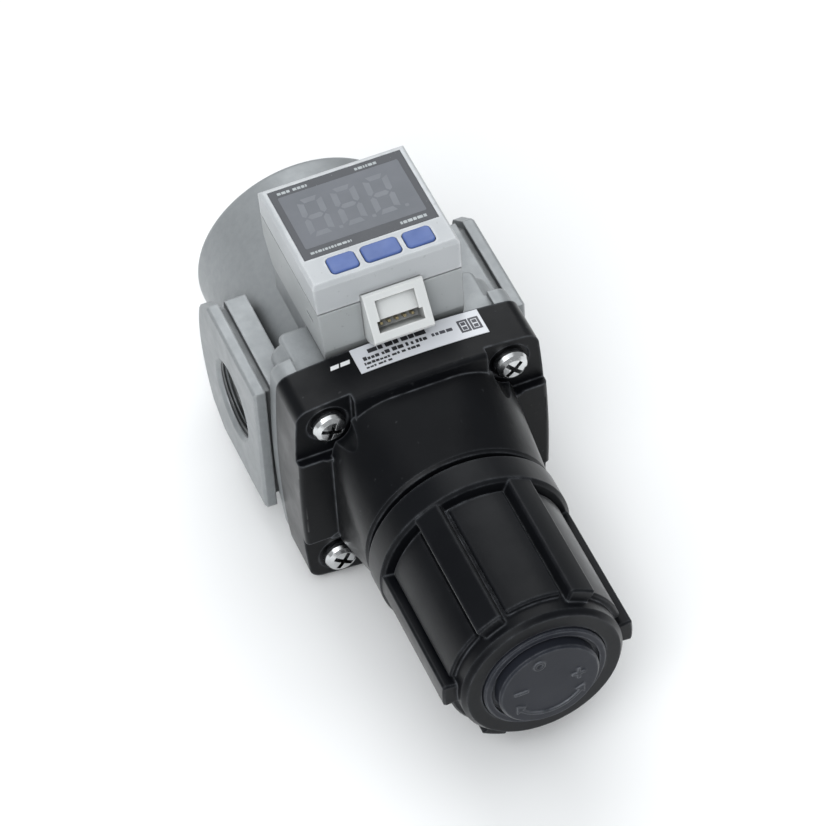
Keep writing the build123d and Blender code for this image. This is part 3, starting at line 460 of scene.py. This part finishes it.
def on_label(a, b, h):
    z = LAB_TOP - (LAB_R - math.sqrt(LAB_R ** 2 - a * a))
    return V(a, b, z + h)


ink = surface("label_ink", (0.012, 0.012, 0.014), (0.022, 0.022, 0.026), 300.0, (0.4, 0.55), 400.0,
              grain=((1500.0, 0.000006, 2.0),), bevel=0.0).mat
grey_ink = surface("label_grey_ink", (0.045, 0.045, 0.055), (0.065, 0.065, 0.078), 300.0, (0.4, 0.55), 400.0,
                   grain=((1500.0, 0.000006, 2.0),), bevel=0.0).mat


def word_row(sl, x0, x1, y, h, seed, wmin=0.35, wmax=1.1, gap=0.22):
    """A generic row of print: short blocks of uneven width with gaps, no letters."""
    x = x0
    k = seed
    while x < x1 - wmin:
        k = (k * 73 + 41) % 101
        w = wmin + (wmax - wmin) * (k / 101.0)
        w = min(w, x1 - x)
        hh = h * (0.72 + 0.28 * ((k * 7) % 5) / 4.0)
        sl.add(rrect(x, x + w, y, y + hh, min(0.08, hh * 0.3)), on_label, -0.01, 0.022)
        x += w + gap * (1.0 + (2.2 if k % 4 == 0 else 0.0))


sl = Slabs()
word_row(sl, -6.4, 5.6, -20.35, 1.35, 17, 0.9, 2.2, 0.16)
word_row(sl, -7.8, 4.4, -21.75, 0.90, 29, 0.4, 1.2, 0.15)
word_row(sl, -8.0, 2.6, -22.80, 0.62, 5, 0.3, 0.9, 0.13)
word_row(sl, -8.0, -2.4, -23.65, 0.52, 61, 0.3, 0.9, 0.13)
make("label_print", sl.v, sl.f, ink, "body")
sl = Slabs()
word_row(sl, 5.4, 9.6, -21.55, 0.85, 88, 0.5, 1.2)
# plain symbol block at the right end: two framed squares with bars inside
for cx in (11.6, 13.75):
    x0, x1, y0, y1, w = cx - 0.98, cx + 0.98, -22.8, -19.8, 0.42
    sl.add(rrect(x0, x1, y1 - w, y1, 0.06), on_label, -0.01, 0.022)
    sl.add(rrect(x0, x1, y0, y0 + w, 0.06), on_label, -0.01, 0.022)
    sl.add(rrect(x0, x0 + w, y0 + w, y1 - w, 0.04), on_label, -0.01, 0.022)
    sl.add(rrect(x1 - w, x1, y0 + w, y1 - w, 0.04), on_label, -0.01, 0.022)
    sl.add(rrect(cx - 0.42, cx + 0.42, -21.15, -20.38, 0.06), on_label, -0.01, 0.022)
    sl.add(rrect(cx - 0.42, cx + 0.42, -22.22, -21.45, 0.06), on_label, -0.01, 0.022)
make("label_symbol", sl.v, sl.f, grey_ink, "body")

# small white tally bar beside the label, printed on the bonnet
BON_R, BON_TOP = 169.0, 24.1


def on_bonnet(a, b, h):
    z = BON_TOP - (BON_R - math.sqrt(BON_R ** 2 - a * a))
    return V(a, b, z + h)


white_ink = surface("white_ink", (0.72, 0.73, 0.74), (0.78, 0.79, 0.80), 200.0, (0.4, 0.5), 300.0,
                    grain=((1500.0, 0.000008, 2.0),), bevel=0.0).mat
sl = Slabs()
sl.add([(-13.9, -20.95), (-12.3, -20.95), (-12.0, -20.05), (-13.6, -20.05)], on_bonnet, -0.01, 0.03)
sl.add([(-12.0, -20.95), (-10.2, -20.95), (-9.9, -20.05), (-11.7, -20.05)], on_bonnet, -0.01, 0.03)
make("tally_bar", sl.v, sl.f, white_ink, "body")

# ---------------------------------------------------------------- display
WIN_TOP = 39.48


def on_window(a, b, h):
    return V(a, b, WIN_TOP + h)


lcd = surface("lcd_field", (0.088, 0.097, 0.113), (0.104, 0.112, 0.131), 120.0, (0.12, 0.22), 90.0,
              grain=((60.0, 0.00002, 1.0),), bevel=0.0, spec=0.28, coat=0.05, coat_rough=0.08).mat
seg_mat = surface("lcd_segment", (0.125, 0.135, 0.154), (0.142, 0.152, 0.172), 200.0, (0.14, 0.24), 90.0,
                  grain=((60.0, 0.00002, 1.0),), bevel=0.0, spec=0.28, coat=0.05, coat_rough=0.08).mat
mark_mat = surface("window_marks", (0.27, 0.30, 0.31), (0.34, 0.37, 0.38), 300.0, (0.3, 0.4), 200.0,
                   grain=((1500.0, 0.000005, 2.0),), bevel=0.0, coat=0.4, coat_rough=0.1).mat

sl = Slabs()
sl.add(rrect(-11.6, 11.6, -6.1, 7.7, 0.35, 4), on_window, -0.01, 0.006, 0.05)
make("lcd_field", sl.v, sl.f, lcd, "body")

SLANT = 0.07


def seven(sl, cx, cy, w, h, t, skip=()):
    """Seven-segment figure eight, slanted."""
    def bar(pts):
        sl.add([(cx + x + SLANT * y, cy + y) for x, y in pts], on_window, 0.004, 0.012, 0.03)
    g = t * 0.16
    hw, hh = w / 2, h / 2
    segs = {
        "a": [(-hw + g + t / 2, hh), (hw - g - t / 2, hh), (hw - g - t, hh - t), (-hw + g + t, hh - t)],
        "d": [(-hw + g + t, -hh + t), (hw - g - t, -hh + t), (hw - g - t / 2, -hh), (-hw + g + t / 2, -hh)],
        "g": [(-hw + t * 0.75, 0), (-hw + t * 1.2, t / 2), (hw - t * 1.2, t / 2), (hw - t * 0.75, 0), (hw - t * 1.2, -t / 2),
              (-hw + t * 1.2, -t / 2)],
        "f": [(-hw, hh - g - t / 2), (-hw + t, hh - g - t), (-hw + t, g + t * 0.6), (-hw + t / 2, g), (-hw, g + t * 0.4)],
        "b": [(hw, hh - g - t / 2), (hw - t, hh - g - t), (hw - t, g + t * 0.6), (hw - t / 2, g), (hw, g + t * 0.4)],
        "e": [(-hw, -hh + g + t / 2), (-hw + t, -hh + g + t), (-hw + t, -g - t * 0.6), (-hw + t / 2, -g), (-hw, -g - t * 0.4)],
        "c": [(hw, -hh + g + t / 2), (hw - t, -hh + g + t), (hw - t, -g - t * 0.6), (hw - t / 2, -g), (hw, -g - t * 0.4)],
    }
    for k, pts in segs.items():
        if k not in skip:
            bar(pts)


sl = Slabs()
for cx in (-6.9, -0.6, 5.7):
    seven(sl, cx, 0.9, 4.7, 9.6, 1.15)
    sl.add(rrect(cx + 2.75, cx + 3.5, -3.9, -3.15, 0.2), on_window, 0.004, 0.012, 0.03)
make("lcd_digits", sl.v, sl.f, seg_mat, "body")


def win_row(sl, x0, x1, y, h, seed, wmin, wmax, gap):
    x, k = x0, seed
    while x < x1 - wmin * 0.5:
        k = (k * 73 + 41) % 101
        w = min(wmin + (wmax - wmin) * (k / 101.0), x1 - x)
        sl.add(rrect(x, x + w, y, y + h, 0.06, 2), on_window, -0.01, 0.012, 0.02)
        x += w + gap


sl = Slabs()
win_row(sl, -11.3, -8.9, 8.25, 0.62, 13, 0.3, 0.8, 0.15)
win_row(sl, -8.3, -5.6, 8.25, 0.62, 31, 0.3, 0.8, 0.15)
win_row(sl, 3.6, 7.8, 8.20, 0.62, 47, 0.3, 0.9, 0.15)
win_row(sl, -11.2, -3.4, -7.65, 0.55, 71, 0.3, 0.9, 0.15)
win_row(sl, 6.0, 11.2, -7.60, 0.70, 19, 0.3, 1.1, 0.15)
make("window_marks", sl.v, sl.f, mark_mat, "body")

# ---------------------------------------------------------------- springs copied to meshes of their own, the CAD springs hidden
def soft_copy(node, body="body"):
    src = NODES[node]
    me = src.data.copy()
    me.transform(src.matrix_world)
    ob = bpy.data.objects.new(node + "_flex", me)
    bpy.context.scene.collection.objects.link(ob)
    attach(ob, body)
    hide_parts(node)
    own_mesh(ob)
    return ob


soft_copy("regulating_spring")
soft_copy("valve_spring")

# ---------------------------------------------------------------- stage, lights, camera
def floor():
    me = bpy.data.meshes.new("floor")
    bm = bmesh.new()
    n, size, z = 24, 2.4, -0.00012
    grid = [[bm.verts.new((-size / 2 + size * i / n, -size / 2 + size * j / n, z)) for i in range(n + 1)] for j in range(n + 1)]
    for j in range(n):
        for i in range(n):
            bm.faces.new((grid[j][i], grid[j][i + 1], grid[j + 1][i + 1], grid[j + 1][i]))
    bm.to_mesh(me)
    bm.free()
    ob = bpy.data.objects.new("floor", me)
    bpy.context.scene.collection.objects.link(ob)
    t = surface("floor_paper", (0.94, 0.94, 0.94), (0.955, 0.955, 0.955), 3.0, (0.85, 0.95), 5.0, spec=0.2, bevel=0.0)
    me.materials.append(t.mat)


floor()


def area(name, loc, target, size, energy, color=(1, 1, 1)):
    L = bpy.data.lights.new(name, "AREA")
    L.shape = "RECTANGLE"
    L.size, L.size_y = size
    L.energy = energy
    L.color = color
    ob = bpy.data.objects.new(name, L)
    bpy.context.scene.collection.objects.link(ob)
    ob.location = loc
    ob.rotation_euler = (Vector(target) - Vector(loc)).to_track_quat("-Z", "Y").to_euler()
    return ob


COOL = (0.965, 0.985, 1.0)
area("key", (-0.38, -0.50, 0.62), (0, -0.02, 0.03), (0.55, 0.55), 4.0, COOL)
area("top", (-0.10, -0.20, 1.10), (0, -0.02, 0.0), (1.1, 1.1), 3.4, COOL)
area("back", (0.20, 0.66, 0.82), (0, 0, 0.03), (0.8, 0.6), 4.8, COOL)
world = bpy.data.worlds.new("studio")
bpy.context.scene.world = world
world.use_nodes = True
bg = world.node_tree.nodes["Background"]
bg.inputs[0].default_value = (0.96, 0.985, 1.0, 1.0)
bg.inputs[1].default_value = 0.42

# camera, from a fit to the object's own edges (millimetres, degrees)
az, el, roll = [math.radians(a) for a in (-19.75, 48.92, -3.93)]
FOC, DIST, TX, TY = 5.42, 800.0, -8.76, 10.73
back = Vector((math.sin(az) * math.cos(el), -math.cos(az) * math.cos(el), math.sin(el)))
right = Vector((0, 0, 1)).cross(back).normalized()
up = back.cross(right)
r2 = right * math.cos(roll) + up * math.sin(roll)
u2 = -right * math.sin(roll) + up * math.cos(roll)
loc = (back * DIST - r2 * TX - u2 * TY) / 1000.0 + Vector((0, 0, H / 1000.0))
cam = bpy.data.cameras.new("camera")
cam_ob = bpy.data.objects.new("camera", cam)
bpy.context.scene.collection.objects.link(cam_ob)
cam_ob.matrix_world = Matrix(((r2.x, u2.x, back.x, loc.x), (r2.y, u2.y, back.y, loc.y), (r2.z, u2.z, back.z, loc.z),
                              (0, 0, 0, 1)))
cam.sensor_width = 36.0
cam.lens = FOC * DIST * 36.0 / 826.0
cam.clip_start, cam.clip_end = 0.05, 10.0
bpy.context.scene.camera = cam_ob
bpy.context.scene.view_settings.view_transform = "Standard"
bpy.context.scene.view_settings.look = "None"
